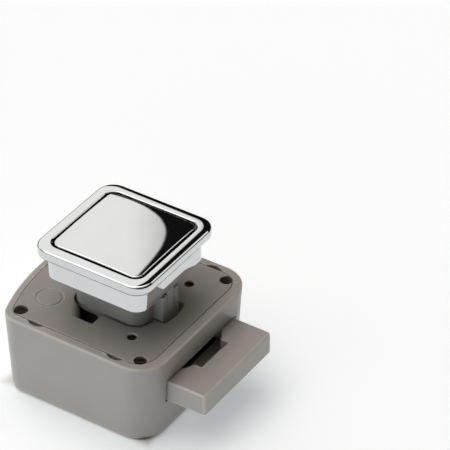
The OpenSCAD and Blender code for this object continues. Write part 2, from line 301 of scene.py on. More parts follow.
def housing_shape(p):
    x, y, z = p
    ay = np.abs(y)
    lean = -z / CASE_H * 0.9
    body = rmax(outline(x, y, 1.4 * lean, lean, lean, 8.0, 3.0), z, 0.52)
    body = rmax(body, (-CASE_H - z) * 0.35, 0.9)
    # recess for the cover
    rec = np.maximum(outline(x, y, 2.7, 2.35, 1.85, 5.3, 2.0), -2.28 - z)
    body = cut(body, rec, 0.12)
    # hollow inside
    cav = np.maximum(outline(x, y, 3.75, 3.4, 3.4, 4.25, 2.0), span(z, FLOOR_Z, -2.0))
    keep = np.hypot(np.abs(x + 0.6) - 17.9, ay - 18.85) - 3.0
    keep = rmin(keep, brick((x, ay, z), -15.5, 13.9, 15.4, 17.8, -25, BOLT_BOT - 0.3, 0.25), 0.3)
    keep = rmin(keep, brick((x, ay, z), 3, 9, 18.9, 22, -6.5, -4.45, 0.15), 0.0)
    keep = rmin(keep, brick((x, ay, z), -14, -9, 18.9, 22, -6.5, -4.45, 0.15), 0.0)
    keep = rmin(keep, rod(x, ay, z, 3, 2.8, 1.35, -25, -18.0, 0.3), 0.0)
    keep = rmin(keep, brick(p, -11.8, -8.5, -1.6, 1.6, -25, -17.3, 0.25), 0.0)
    cav = rmax(cav, -keep, 0.35)
    body = cut(body, cav, 0.12)
    # bolt slot
    body = cut(body, brick(p, 14.8, 45, -15.35, 15.35, BOLT_BOT - 0.28, BOLT_TOP + 0.28, 0.25), 0.12)
    # finger notches in the rim
    for cx in (11.3, -12.3):
        off = np.where(y > 0, 0.9, 0.0)
        body = cut(body, np.maximum(np.hypot(x - cx - off, ay - 18.79) - 3.34, -1.7 - z), 0.12)
    # screw holes, countersunk at the back
    q = np.hypot(np.abs(x + 0.6) - 17.9, ay - 18.85)
    body = cut(body, np.maximum(q - 1.6, z + 1.2), 0.06)
    body = cut(body, np.maximum(q - 2.3, span(z, -7.0, -2.2)), 0.06)
    body = cut(body, (q - 1.6 - np.maximum(1.1 - CASE_H - z, 0)) * 0.7071 + 0 * z, 0.1)
    # pockets for the cover's hooks, pivot for the latch wire
    for cx in HOOKS:
        body = cut(body, brick((x, ay, z), cx - 2, cx + 2, 19, 21, -6, -4.5), 0.05)
    body = cut(body, np.maximum(np.hypot(y, z + 18.9) - 0.55, span(x, -13, -7)), 0.05)
    return body


def cover_shape(p):
    x, y, z = p
    ay = np.abs(y)
    plate = rmax(outline(x, y, 2.88, np.where(y > 0, 2.43, 2.55), 1.91, 5.1, 1.9), span(z, -2.25, -0.05), 0.16)
    # opening round the stem, with the bays for the ribs
    hole = rect2(x, y + 0.15, 22.1, 19.2, 4.45)
    bay = np.maximum(np.hypot(x, y) - 14.8, np.maximum(span(x, 8, 16), span(y, -3.95, 5.3)))
    bay2 = np.maximum(np.hypot(x, y) - 14.5, np.maximum(span(x, -16, -8), ay - 3.95))
    plate = cut(plate, np.minimum(np.minimum(hole, bay), bay2), 0.24)
    # slot beside the stem: crisp right and near walls, a soft scoop on the left
    left = -0.857 * (x + 4.8) - 0.516 * (y + 13.8)
    slot = np.maximum(np.maximum(x + 0.55, -13.8 - y), y + 7.0)
    plate = cut(plate, np.maximum(slot, left), 0.1)
    scoop = np.maximum(np.maximum(x + 2.0, -13.8 - y), y + 6.2)
    plate = np.maximum(plate, -np.maximum(scoop, -rmax(-left, z + 0.05, 1.9)))
    # corner cut-outs over the screws, two small holes with a soft lip
    corner = np.hypot(np.abs(x + 0.6) - 17.9, ay - 18.85)
    plate = cut(plate, corner - np.where(x < 0, 1.78, 1.64), 0.16)
    plate = cut(plate, np.maximum(corner - 2.3, z + 0.9), 0.05)
    small = np.hypot(x - 10.4, ay - 12.55)
    plate = cut(plate, small - 1.2, 0.34)
    plate = cut(plate, np.maximum(small - 2.1, z + 0.6), 0.05)
    # plain ring left by the mould
    q = np.hypot(x + 15.5, y + 11.1)
    plate = cut(plate, np.maximum(np.abs(q - 3.32) - 0.27, -0.19 - z), 0.2)
    # hooks underneath
    for cx in HOOKS:
        h = brick((x, ay, z), cx - 1.6, cx + 1.6, 18.7, 19.7, -5.9, -1.5, 0.1)
        b = brick((x, ay, z), cx - 1.6, cx + 1.6, 19.2, 20.6, -5.7, -4.8, 0.1)
        plate = rmin(plate, rmin(h, b, 0.1), 0.2)
    return plate


def tube_shape(p):
    x, y, z = p
    ax, ay = np.abs(x), np.abs(y)
    # the stem is a little slimmer where the cover's opening goes round it
    slim = 0.35 * np.clip((-0.15 - z) / 0.2, 0, 1) * np.clip((z + 2.5) / 0.3, 0, 1)
    stem = rmax(rect2(x, y, 21.2, 18.0, 4.0) + slim, span(z, -6.8, 14.0), 0.35)
    prof = poly2(ax, z, [(8.5, -6.3), (13.4, -6.3), (13.4, 6.9), (12.3, 6.9), (12.3, 8.6), (8.5, 8.6)])
    rib = rmax(prof, span(ay, 1.6, 3.5), 0.14)
    body = rmin(stem, rib, 0.18)
    foot = brick((x, ay, z), 3.3, 8.7, 6, 19.7, -4.35, -2.35, 0.15)
    foot = np.minimum(foot, brick((x, ay, z), 3.3, 12.5, 6, 15, -4.35, -2.35, 0.15))
    foot = np.minimum(foot, brick((x, ay, z), -13.7, -9.3, 3.4, 19.7, -4.35, -2.35, 0.15))
    foot = np.maximum(foot, -brick(p, -9, 0, -15, -8.8, -9, 0))
    body = rmin(body, foot, 0.2)
    body = cut(body, rect2(x, y, 18.0, 14.8, 2.4), 0.2)
    body = cut(body, np.hypot(x - 10.2, ay - 12.6) - 1.95, 0.1)
    # arch in the near wall
    arch = np.minimum(np.hypot(x + 4.0, z + 4.6) - 2.7, np.maximum(span(x, -6.7, -1.3), z + 4.6))
    arch = np.minimum(arch, np.maximum(span(x, -9.3, -4.0), z + 1.9))
    body = cut(body, np.maximum(arch, span(y, -12, -5)), 0.15)
    # way for the legs
    body = cut(body, np.maximum(np.maximum(11.0 - ax, ay - 1.6), span(z, -9, 12)), 0.1)
    return body


def bolt_shape(p):
    x, y, z = p
    ay = np.abs(y)
    rec = 33.25 - 22.85
    # the upper band of the sides stands a hair in from the rest
    step = np.where(z > BOLT_TOP - 1.35, 0.05, 0.0)
    nose = rmax(rmax(span(x, 5, 33.25), ay - 14.9 + step, 0.75), span(z, BOLT_BOT, BOLT_TOP), 0.42)
    wide = rmax(rmax(span(x, -3.6, 13.9), ay - 18.5, 0.5), span(z, BOLT_BOT, BOLT_TOP), 0.35)
    tail = np.maximum(span(x, -12, 0), ay - 14.0)
    tail = rmax(rmax(tail, np.hypot(x - 45.8, y) - 56.5, 0.5), span(z, BOLT_BOT, BOLT_TOP), 0.35)
    body = rmin(rmin(nose, wide, 0.3), tail, 0.0)
    win = np.maximum(np.hypot(x - rec, y) - 15.0, np.maximum(span(x, 5, 40), ay - 11.9))
    win = np.minimum(win, np.maximum(span(x, -3.3, 6), ay - 11.9))
    win = np.minimum(win, np.maximum(span(x, -8.7, -3), ay - 5.2))
    body = cut(body, win, 0.2)
    pocket = poly2(x, z, [(rec + 6, BOLT_TOP + 1), (rec + 16.68, BOLT_TOP + 1), (rec + 16.2, BOLT_TOP),
                          (rec + 13.9, BOLT_TOP - 4.75), (rec + 6, BOLT_TOP - 4.75)])
    body = cut(body, np.maximum(pocket, ay - 5.7), 0.12)
    body = cut(body, np.maximum(np.hypot(x - PIN_X, z - PIN_Z) - 1.02, ay - 16.6), 0.05)
    return body


def plunger_shape(p):
    x, y, z = p
    ay = np.abs(y)
    body = rmax(rect2(x, y, 17.8, 14.6, 2.3), span(z, -6.6, 17.2), 0.2)
    hollow = np.maximum(rect2(x, y, 14.8, 11.0, 1.0), z - 13.5)
    body = cut(body, hollow, 0.2)
    web = brick(p, -6.5, -4, -6.0, 6.0, -6.6, 13.7, 0.1)
    tongue = brick(p, -6.5, -4, -4.2, 4.2, -20.6, -5.6, 0.3)
    body = rmin(body, rmin(web, tongue, 0.3), 0.2)
    a, b = (PIN_X, PIN_Z), (PIN_X - 11.2, PIN_Z - 9.5)
    track = seg2(x, z, a, b)
    gus = poly2(x, z, [(-1, -5.6), (PIN_X + 1.5, -5.6), (PIN_X + 1.5, PIN_Z), a, b, (-1, -10.5)])
    cam_p = rmax(np.minimum(track - 1.95, gus), span(ay, 5.5, 7.0), 0.12)
    body = rmin(body, cam_p, 0.1)
    peg = rod(x, ay, z, 3, 2.8, 1.35, 10.5, 14.0, 0.3)
    body = rmin(body, peg, 0.2)
    body = cut(body, np.maximum(track - 1.05, 4.5 - ay), 0.08)
    tip = -8.6
    pts = [((0, tip), (-1.2, tip - 9.6)), ((0, tip), (-1.3, tip + 0.9)), ((0, tip), (1.2, tip + 0.9)),
           ((1.2, tip + 0.9), (2.1, tip - 1.6)), ((2.1, tip - 1.6), (1.2, tip - 8.3)), ((1.2, tip - 8.3), (-1.2, tip - 9.6))]
    heart = None
    for s, e in pts:
        d = seg2(y, z, s, e) - 0.68
        heart = d if heart is None else np.minimum(heart, d)
    body = cut(body, np.maximum(heart, x + 5.2), 0.08)
    return body


def leg_shape(p):
    """One of the rosette's two snap legs, on the bolt side."""
    x, y, z = p
    prof = poly2(x, z, [(13.2, 10.6), (13.8, 10.6), (14.1, 9.9), (14.1, 8.7), (13.4, 7.9), (13.4, -2.6),
                        (14.95, -2.6), (14.95, -3.2), (13.4, -5.7), (11.9, -5.7), (11.9, 7.6), (13.2, 8.7)])
    return rmax(prof, np.abs(y) - 1.35, 0.16)


# ---------------------------------------------------------------------------
# From a shape to a mesh
# ---------------------------------------------------------------------------
def gradient(shape, pts, e=0.004):
    g = np.empty_like(pts)
    for k in range(3):
        q = [pts[:, 0], pts[:, 1], pts[:, 2]]
        q[k] = pts[:, k] + e
        hi = shape(tuple(q))
        q[k] = pts[:, k] - e
        g[:, k] = (hi - shape(tuple(q))) / (2 * e)
    return g


def settle(shape, pts, step, limit):
    """Moves points on to the shape's surface."""
    start = pts.copy()
    for _ in range(step):
        d = shape((pts[:, 0], pts[:, 1], pts[:, 2]))
        g = gradient(shape, pts)
        n2 = np.maximum((g * g).sum(1), 0.3)
        pts = pts - g * (d / n2)[:, None]
    far = np.linalg.norm(pts - start, axis=1) > limit
    pts[far] = start[far]
    return pts


def object_from(name, pts, faces, normals, mat):
    me = bpy.data.meshes.new(name)
    me.from_pydata((pts * MM).tolist(), [], faces)
    me.update()
    me.polygons.foreach_set("use_smooth", np.ones(len(me.polygons), bool))
    if normals is not None:
        me.normals_split_custom_set_from_vertices(normals.tolist())
    me.materials.append(mat)
    o = bpy.data.objects.new(name, me)
    scene.collection.objects.link(o)
    return o


def solid(name, shape, lo, hi, h, tris, mat):
    """Meshes a shape, thins the flat places, and gives it the shape's own normals."""
    lo, hi = np.array(lo, float) - 2.5 * h, np.array(hi, float) + 2.5 * h
    n = np.ceil((hi - lo) / h).astype(int) + 1
    ax = [(lo[k] + h * np.arange(n[k])).astype(np.float32) for k in range(3)]
    vol = np.empty(tuple(n), np.float32)
    band = 3.0 * h
    for i in range(0, n[0], 24):
        sl = slice(i, min(i + 24, n[0]))
        v = shape((ax[0][sl][:, None, None], ax[1][None, :, None], ax[2][None, None, :]))
        vol[sl] = np.clip(v, -band, band)
    grid = openvdb.FloatGrid(background=band)
    grid.copyFromArray(vol)
    out = grid.convertToPolygons(isovalue=0.0, adaptivity=0.0)
    pts = np.asarray(out[0], float) * h + lo
    faces = [np.asarray(f) for f in out[1:] if len(f)]
    pts = settle(shape, pts, 3, 1.2 * h)
    me = bpy.data.meshes.new(name + "_fine")
    me.from_pydata((pts * MM).tolist(), [], np.concatenate(faces).tolist() if len(faces) == 1 else
                   [list(f) for fs in faces for f in fs])
    me.update()
    o = bpy.data.objects.new(name + "_fine", me)
    scene.collection.objects.link(o)
    count = sum(len(p.vertices) - 2 for p in me.polygons) if len(faces) > 1 else len(me.polygons) * 2
    if count > tris:
        mod = o.modifiers.new("thin", "DECIMATE")
        mod.ratio = tris / count
        mod.use_collapse_triangulate = True
        dg = bpy.context.evaluated_depsgraph_get()
        thin = bpy.data.meshes.new_from_object(o.evaluated_get(dg))
    else:
        thin = me.copy()
    co = np.empty(len(thin.vertices) * 3)
    thin.vertices.foreach_get("co", co)
    co = settle(shape, co.reshape(-1, 3) / MM, 2, 0.5 * h)
    nor = gradient(shape, co)
    nor /= np.maximum(np.linalg.norm(nor, axis=1), 1e-6)[:, None]
    thin.vertices.foreach_set("co", (co * MM).ravel())
    thin.update()
    # faces look outwards
    pn = np.empty(len(thin.polygons) * 3)
    thin.polygons.foreach_get("normal", pn)
    first = np.empty(len(thin.polygons), int)
    thin.polygons.foreach_get("loop_start", first)
    vi = np.empty(len(thin.loops), int)
    thin.loops.foreach_get("vertex_index", vi)
    if (pn.reshape(-1, 3) * nor[vi[first]]).sum() < 0:
        thin.flip_normals()
        thin.polygons.foreach_get("normal", pn)
        thin.polygons.foreach_get("loop_start", first)
        thin.loops.foreach_get("vertex_index", vi)
    # folds left by the thinning: turn the faces that look the wrong way
    three = nor[vi[first]] + nor[vi[first + 1]] + nor[vi[first + 2]]
    for i in np.flatnonzero((pn.reshape(-1, 3) * three).sum(1) < 0):
        thin.polygons[int(i)].flip()
    thin.update()
    thin.polygons.foreach_set("use_smooth", np.ones(len(thin.polygons), bool))
    thin.normals_split_custom_set_from_vertices(nor.tolist())
    # which points lie on a rounded outer edge: how fast the normal turns there; the mark drives the plastic's
    # painted highlight
    side_a = np.cross(nor, np.where(np.abs(nor[:, 2:]) < 0.8, [[0.0, 0.0, 1.0]], [[1.0, 0.0, 0.0]]))
    side_a /= np.maximum(np.linalg.norm(side_a, axis=1), 1e-6)[:, None]
    bend = np.zeros(len(co))
    for t in (side_a, np.cross(nor, side_a)):
        turn = gradient(shape, co + 0.08 * t) - gradient(shape, co - 0.08 * t)
        bend = np.maximum(bend, (turn * t).sum(1) / 0.16)
    edge = np.clip((bend - 0.8) / 0.8, 0.0, 1.0) * np.clip((5.0 - bend) / 1.8, 0.0, 1.0)
    mark = thin.attributes.new("edge", "FLOAT", "POINT")
    mark.data.foreach_set("value", edge.astype(np.float32))
    thin.materials.clear()
    thin.materials.append(mat)
    bpy.data.objects.remove(o)
    thin.name = name
    piece = bpy.data.objects.new(name, thin)
    scene.collection.objects.link(piece)
    return piece


def place(piece, body, slot_name, *nodes):
    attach(piece, body)
    if nodes:
        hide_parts(*nodes)
    return piece


def join(name, *objs):
    bpy.ops.object.select_all(action="DESELECT")
    for o in objs:
        o.select_set(True)
    bpy.context.view_layer.objects.active = objs[0]
    bpy.ops.object.join()
    objs[0].name = name
    return objs[0]


# ---------------------------------------------------------------------------
# Lofted pieces: rounded squares stacked along a filleted profile
# ---------------------------------------------------------------------------
def square_ring(w, r, w2=None, corner=14, side=6):
    """Points of a rounded square of half width w, and how they are spread is the same for all sizes."""
    h = w if w2 is None else w2
    pts = []
    for k, (sx, sy) in enumerate([(1, 1), (-1, 1), (-1, -1), (1, -1)]):
        for i in range(corner + 1):
            a = math.radians(90 * k + 90 * i / corner)
            pts.append((sx * (w - r) + r * math.cos(a), sy * (h - r) + r * math.sin(a)))
        ex, ey = pts[-1]
        nx, ny = [(-1, 1), (-1, -1), (1, -1), (1, 1)][k]
        a = math.radians(90 * (k + 1))
        gx, gy = nx * (w - r) + r * math.cos(a), ny * (h - r) + r * math.sin(a)
        for i in range(1, side):
            t = i / side
            pts.append((ex + (gx - ex) * t, ey + (gy - ey) * t))
    return np.array(pts)


def rounded_profile(corners, steps=7):
    """Closed profile from (width, height, fillet) corners: points and outward normals."""
    n = len(corners)
    area = sum(corners[i][0] * corners[(i + 1) % n][1] - corners[(i + 1) % n][0] * corners[i][1] for i in range(n))
    sign = 1.0 if area > 0 else -1.0
    out = []
    for i in range(n):
        p0, p1, p2 = (np.array(corners[(i + d) % n][:2], float) for d in (-1, 0, 1))
        r = corners[i][2]
        u, v = p0 - p1, p2 - p1
        lu, lv = np.linalg.norm(u), np.linalg.norm(v)
        u, v = u / lu, v / lv
        ang = math.acos(max(-1.0, min(1.0, float(u @ v))))
        # outward normals of the two sides
        d1, d2 = -u, v
        n1 = sign * np.array([d1[1], -d1[0]])
        n2 = sign * np.array([d2[1], -d2[0]])
        if r <= 0 or ang > math.pi - 1e-4:
            m = n1 + n2
            out.append((p1, m / np.linalg.norm(m)))
            continue
        t = min(r / math.tan(ang / 2), 0.49 * lu, 0.49 * lv)
        rr = t * math.tan(ang / 2)
        bis = (u + v) / np.linalg.norm(u + v)
        c = p1 + bis * (rr / math.sin(ang / 2))
        convex = float(n1 @ bis) < 0
        a1 = (n1 if convex else -n1)
        a2 = (n2 if convex else -n2)
        th = math.acos(max(-1.0, min(1.0, float(a1 @ a2))))
        for k in range(steps + 1):
            f = k / steps
            w = (math.sin((1 - f) * th) * a1 + math.sin(f * th) * a2) / max(math.sin(th), 1e-9)
            out.append((c + rr * w, w if convex else -w))
    return out


def loft(name, profile, radius, mat, corner=14, side=6, aspect=0.0):
    """Sweeps a closed profile round a rounded square, with exact normals."""
    rings, normals = [], []
    e = 1e-3
    for (w, z), (nw, nz) in profile:
        ring = square_ring(w, radius(w), w + aspect, corner, side)
        d_dw = (square_ring(w + e, radius(w + e), w + e + aspect, corner, side) -
                square_ring(w - e, radius(w - e), w - e + aspect, corner, side)) / (2 * e)
        d_du = np.roll(ring, -1, 0) - np.roll(ring, 1, 0)
        d_du /= np.maximum(np.linalg.norm(d_du, axis=1), 1e-9)[:, None]
        tw, tz = -nz, nw
        ts = np.column_stack([d_dw * tw, np.full(len(ring), tz)])
        tu = np.column_stack([d_du, np.zeros(len(ring))])
        nn = np.cross(tu, ts)
        nn /= np.maximum(np.linalg.norm(nn, axis=1), 1e-9)[:, None]
        rings.append(np.column_stack([ring, np.full(len(ring), z)]))
        normals.append(nn)
    m, k = len(rings), len(rings[0])
    pr = [q for q, _ in profile]
    turn = sum(pr[i][0] * pr[(i + 1) % m][1] - pr[(i + 1) % m][0] * pr[i][1] for i in range(m))
    faces = []
    for i in range(m):
        j = (i + 1) % m
        for q in range(k):
            s = (q + 1) % k
            f = (i * k + q, i * k + s, j * k + s, j * k + q)
            faces.append(f if turn > 0 else f[::-1])
    return np.concatenate(rings), faces, np.concatenate(normals)


# ---------------------------------------------------------------------------
# Pieces
# ---------------------------------------------------------------------------
housing = solid("case_shell", housing_shape, (-26, -23.6, -23.3), (23, 23.6, 0.1), 0.2, 150000, mat_case)
place(housing, "case", "case_plastic", "housing")
cover = solid("case_cover", cover_shape, (-24, -21.2, -6), (20.2, 21.2, -0.2), 0.15, 110000, mat_cover)
place(cover, "case", "case_plastic", "cover")
tube = solid("button_guide", tube_shape, (-13.8, -19.8, -6.9), (13.5, 19.8, 14.1), 0.15, 90000, mat_case)
place(tube, "case", "case_plastic", "guide_tube")
bolt = solid("slide", bolt_shape, (-10.8, -18.6, -13.4), (33.3, 18.6, -7.1), 0.15, 110000, mat_bolt)
place(bolt, "slide_bolt", "case_plastic", "bolt")
plunger = solid("push_stem", plunger_shape, (-9, -7.4, -20.7), (9, 7.4, 17.3), 0.17, 60000, mat_inner)
place(plunger, "button", "inner_plastic", "plunger")

# rosette: sleeve, frame with a gently domed top, two legs
BORE, FRAME_HALF, FRAME_TOP, RIDGE = 13.55, 16.65, 19.0, 14.4
tops = []
for i in range(11):
    w = BORE + 0.3 + (FRAME_HALF - 0.62 - BORE - 0.3) * i / 10
    v = np.array([(w - RIDGE) / 19.0, 1.0])
    tops.append((np.array([w, FRAME_TOP - (w - RIDGE) ** 2 / 38.0]), v / np.linalg.norm(v)))


def arc(c, r, a0, a1, n, flip=1.0):
    out = []
    for i in range(n + 1):
        a = math.radians(a0 + (a1 - a0) * i / n)
        d = np.array([math.cos(a), math.sin(a)])
        out.append((np.array(c, float) + r * d, d * flip))
    return out


tilt = [math.degrees(math.atan2(n[0], n[1])) for _, n in (tops[0], tops[-1])]
c_in = tops[0][0] - 0.3 * tops[0][1]
c_out = tops[-1][0] - 0.62 * tops[-1][1]
w_in, w_out = c_in[0] - 0.3, c_out[0] + 0.62
ros = []
ros += arc((w_in + 0.15, 9.1 + 0.15), 0.15, 270, 180, 4)
ros += arc(tuple(c_in), 0.3, 180, 90 - tilt[0], 9)
ros += tops[1:-1]
ros += arc(tuple(c_out), 0.62, 90 - tilt[1], 0, 10)
ros += arc((w_out - 0.85, 16.0 + 0.85), 0.85, 0, -90, 8)
ros += arc((14.45 + 0.2, 16.0 - 0.2), 0.2, 90, 180, 4, -1.0)
ros += arc((14.45 - 0.4, 9.1 + 0.4), 0.4, 0, -90, 6)
pts, faces, nor = loft("rosette", ros, lambda w: 2.9 + 0.53 * (w - BORE), mat_chrome, 18, 8)
rosette_body = object_from("rosette_body", pts, faces, nor, mat_chrome)
leg_a = solid("leg_a", leg_shape, (11.8, -1.4, -5.8), (15, 1.4, 10.7), 0.09, 9000, mat_case)
leg_b = solid("leg_b", lambda p: leg_shape((-p[0], p[1], p[2])), (-15, -1.4, -5.8), (-11.8, 1.4, 10.7), 0.09, 9000, mat_case)
rosette_body.name = "chrome_frame"
place(rosette_body, "case", "bright_chrome", "rosette")
# the legs are left unplated
legs = join("frame_legs", leg_a, leg_b)
place(legs, "case", "case_plastic")

# button cap: crowned plate with a skirt, hollow below, socket for the stem
CROWN, TOP, PLATE = 300.0, 19.45, 12.95
edge = 0.3
inner_top = 17.3


def cap_mesh():
    corner, side = 18, 8
    rings, normals = [], []

    def add(w, r, zf, nf):
        ring = square_ring(w, r, None, corner, side)
        z = zf(ring)
        rings.append(np.column_stack([ring, z]))
        normals.append(nf(ring))

    def outward(ring, r, w):
        c = np.clip(ring, -(w - r), w - r)
        d = ring - c
        return d / np.maximum(np.linalg.norm(d, axis=1), 1e-9)[:, None]

    def crown_z(ring):
        return TOP - (ring ** 2).sum(1) / (2 * CROWN)

    def crown_n(ring):
        v = np.column_stack([ring / CROWN, np.ones(len(ring))])
        return v / np.linalg.norm(v, axis=1)[:, None]

    def side_ring(w, r, z, nr, nz):
        def nf(ring):
            o = outward(ring, r, w)
            return np.column_stack([o * nr, np.full(len(ring), nz)])
        add(w, r, lambda ring: np.full(len(ring), z), nf)

    # inside, from the middle of the ceiling out and down
    for w in (0.6, 4.0, 8.0):
        side_ring(w, w * 0.3, inner_top, 0.0, -1.0)
    for a in (90, 60, 30, 0):
        s, c = math.sin(math.radians(a)), math.cos(math.radians(a))
        side_ring(PLATE - 1.3 + 0.4 * c, 1.3, inner_top - 0.4 + 0.4 * s, -c, -s)
    for a in (180, 225, 270):
        s, c = math.sin(math.radians(a)), math.cos(math.radians(a))
        side_ring(PLATE - 0.78 + 0.12 * c, 1.36, 9.07 + 0.12 * s, c, s)
    for a in (-90, -60, -30, 0):
        s, c = math.sin(math.radians(a)), math.cos(math.radians(a))
        side_ring(PLATE - 0.2 + 0.2 * c, 2.15, 9.15 + 0.2 * s, c, s)
    # outside edge: the crown follows the square, so each point has its own height
    for k in range(9):
        a = math.radians(90 * k / 8)
        s, c = math.sin(a), math.cos(a)
        w = PLATE - edge + edge * c
        r = 2.2 - edge + edge * c
        ring0 = square_ring(PLATE - edge, 2.2 - edge, None, corner, side)
        ring = square_ring(w, r, None, corner, side)
        z = crown_z(ring0) - edge + edge * s
        o = outward(ring, r, w)
        top = crown_n(ring0)
        nn = np.column_stack([o * c, np.zeros(len(ring))]) + top * s
        nn /= np.linalg.norm(nn, axis=1)[:, None]
        rings.append(np.column_stack([ring, z]))
        normals.append(nn)
    for k in range(1, 26):
        f = 1 - k / 26
        w = (PLATE - edge) * f
        add(w, max((2.2 - edge) * f ** 0.5 if f > 0.2 else 0.5 * w, 0.02), crown_z, crown_n)
    m, q = len(rings), len(rings[0])
    faces = []
    for i in range(m - 1):
        for a in range(q):
            b = (a + 1) % q
            faces.append((i * q + a, i * q + b, (i + 1) * q + b, (i + 1) * q + a))
    pts, nor = np.concatenate(rings), np.concatenate(normals)
    n0 = len(pts)
    pts = np.vstack([pts, [[0, 0, inner_top], [0, 0, TOP]]])
    nor = np.vstack([nor, [[0, 0, -1], [0, 0, 1]]])
    for a in range(q):
        b = (a + 1) % q
        faces.append((n0, b, a))
        faces.append((n0 + 1, (m - 1) * q + a, (m - 1) * q + b))
    return pts, faces, nor


pts, faces, nor = cap_mesh()
cap_body = object_from("cap_body", pts, faces, nor, mat_chrome)
sock = rounded_profile([(9.05, 14.7, 0.15), (10.3, 14.7, 0.15), (10.3, 17.4, 0.1), (9.05, 17.4, 0.1)], 3)
pts, faces, nor = loft("socket", sock, lambda w: 2.4 + 0.48 * (w - 9.05), mat_chrome, 8, 4, -1.6)
socket = object_from("socket", pts, faces, nor, mat_chrome)
cap = join("button_plate", cap_body, socket)
place(cap, "button", "bright_chrome", "button_cap")


# springs: round wire, closed end coils
def coil_mesh(cx, cy, r, w, z0, z1, turns, sides=10, per=28):
    steps = int(turns * per)
    rings = []
    for i in range(steps + 1):
        t = i / per
        a = 2 * math.pi * t
        f = (t - 1.0) / (turns - 2.0)
        zf = min(max(f, 0.0), 1.0)
        end = 2.2 * w
        z = z0 + w + min(t, 1.0) * end * 0.5 + (z1 - z0 - 2 * w - end) * zf + max(t - turns + 1.0, 0.0) * end * 0.5
        ca, sa = math.cos(a), math.sin(a)
        for j in range(sides):
            b = 2 * math.pi * j / sides
            rings.append((cx + (r + w * math.cos(b)) * ca, cy + (r + w * math.cos(b)) * sa, z + w * math.sin(b)))
    faces = []
    for i in range(steps):
        for j in range(sides):
            k = (j + 1) % sides
            faces.append((i * sides + j, (i + 1) * sides + j, (i + 1) * sides + k, i * sides + k))
    faces.append(tuple(range(sides)))
    faces.append(tuple(steps * sides + j for j in reversed(range(sides))))
    return np.array(rings), faces


for s, hand in ((1, "left"), (-1, "right")):
    pts, faces = coil_mesh(3.0, 2.8 * s, 1.9, 0.3, FLOOR_Z + 0.1, 13.4, 16)
    spring = object_from("coil_" + hand, pts, faces, None, mat_wire)
    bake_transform(spring)
    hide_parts("return_spring_" + hand)


# latch wire: one bent round wire with domed ends
def wire_mesh(path, r, sides=14):
    path = np.array(path, float)
    t = np.gradient(path, axis=0)
    t /= np.linalg.norm(t, axis=1)[:, None]
    up = np.array([0.0, 1.0, 0.0])
    rings, rad = [], np.full(len(path), r)
    ends = [math.sin(math.radians(x)) for x in (12, 40, 65)]
    for i, f in enumerate(ends):
        rad[i] = r * f
        rad[-1 - i] = r * f
    for q, d, k in zip(path, t, rad):
        s = np.cross(up, d)
        s /= np.linalg.norm(s)
        v = np.cross(d, s)
        for j in range(sides):
            a = 2 * math.pi * j / sides
            rings.append(q + k * (math.cos(a) * s + math.sin(a) * v))
    n = len(path)
    faces = []
    for i in range(n - 1):
        for j in range(sides):
            k = (j + 1) % sides
            faces.append((i * sides + j, i * sides + k, (i + 1) * sides + k, (i + 1) * sides + j))
    faces.append(tuple(reversed(range(sides))))
    faces.append(tuple((n - 1) * sides + j for j in range(sides)))
    return np.array(rings), faces


bend = 0.9
line = [(-11.6 + x, 0, -18.9) for x in (0.0, 0.08, 0.2, 0.4)]
line += [(-11.6 + 0.4 + (4.3 - 0.4 - bend) * i / 6, 0, -18.9) for i in range(1, 7)]
line += [(-7.3 - bend + bend * math.sin(a), 0, -18.9 + bend - bend * math.cos(a)) for a in [math.pi / 2 * i / 8 for i in range(1, 9)]]
line += [(-7.3, 0, -18.0 + (10.3 - 2 * bend) * i / 10) for i in range(1, 11)]
line += [(-7.3 + bend - bend * math.cos(a), 0, -8.6 - bend + bend * math.sin(a)) for a in [math.pi / 2 * i / 8 for i in range(1, 9)]]
line += [(-6.4 + x, 0, -8.6) for x in (0.25, 0.5, 0.7, 0.82, 0.9)]
pts, faces = wire_mesh(line, 0.5)
wire = object_from("latch_hook", pts, faces, None, mat_wire)
place(wire, "follower", "steel", "latch_wire")

for node, mat in (("drive_pin_left", mat_pin), ("drive_pin_right", mat_pin), ("latch_spring", mat_wire)):
    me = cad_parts[node].data
    me.materials.clear()
    me.materials.append(mat)


# ---------------------------------------------------------------------------
# Floor, light
# ---------------------------------------------------------------------------
fl_mat, nt, b, co = new_material("floor_white")
tone = noise(nt, co, 3.0, 2.0)
parts = nt.nodes.new("ShaderNodeSeparateXYZ")
nt.links.new(co.outputs["Object"], parts.inputs[0])
# the white sheet runs out into the dark far to the right
fade = ranged(nt, parts.outputs["X"], 0.0, 1.0, 0.10, 0.18)
fade.interpolation_type = "SMOOTHSTEP"
blend_tone = nt.nodes.new("ShaderNodeMath")
blend_tone.operation = "MULTIPLY_ADD"
nt.links.new(tone.outputs["Fac"], blend_tone.inputs[0])
blend_tone.inputs[1].default_value = 0.04
nt.links.new(fade.outputs["Result"], blend_tone.inputs[2])
r = ramp(nt, blend_tone.outputs["Value"], [(0.0, (0.95, 0.95, 0.95)), (0.05, (0.93, 0.93, 0.93)), (1.0, (0.40, 0.40, 0.40))])
nt.links.new(r.outputs["Color"], b.inputs["Base Color"])
b.inputs["Roughness"].default_value = 0.9
b.inputs["Specular IOR Level"].default_value = 0.1
b.inputs["Emission Color"].default_value = (0.91, 1.0, 1.06, 1)
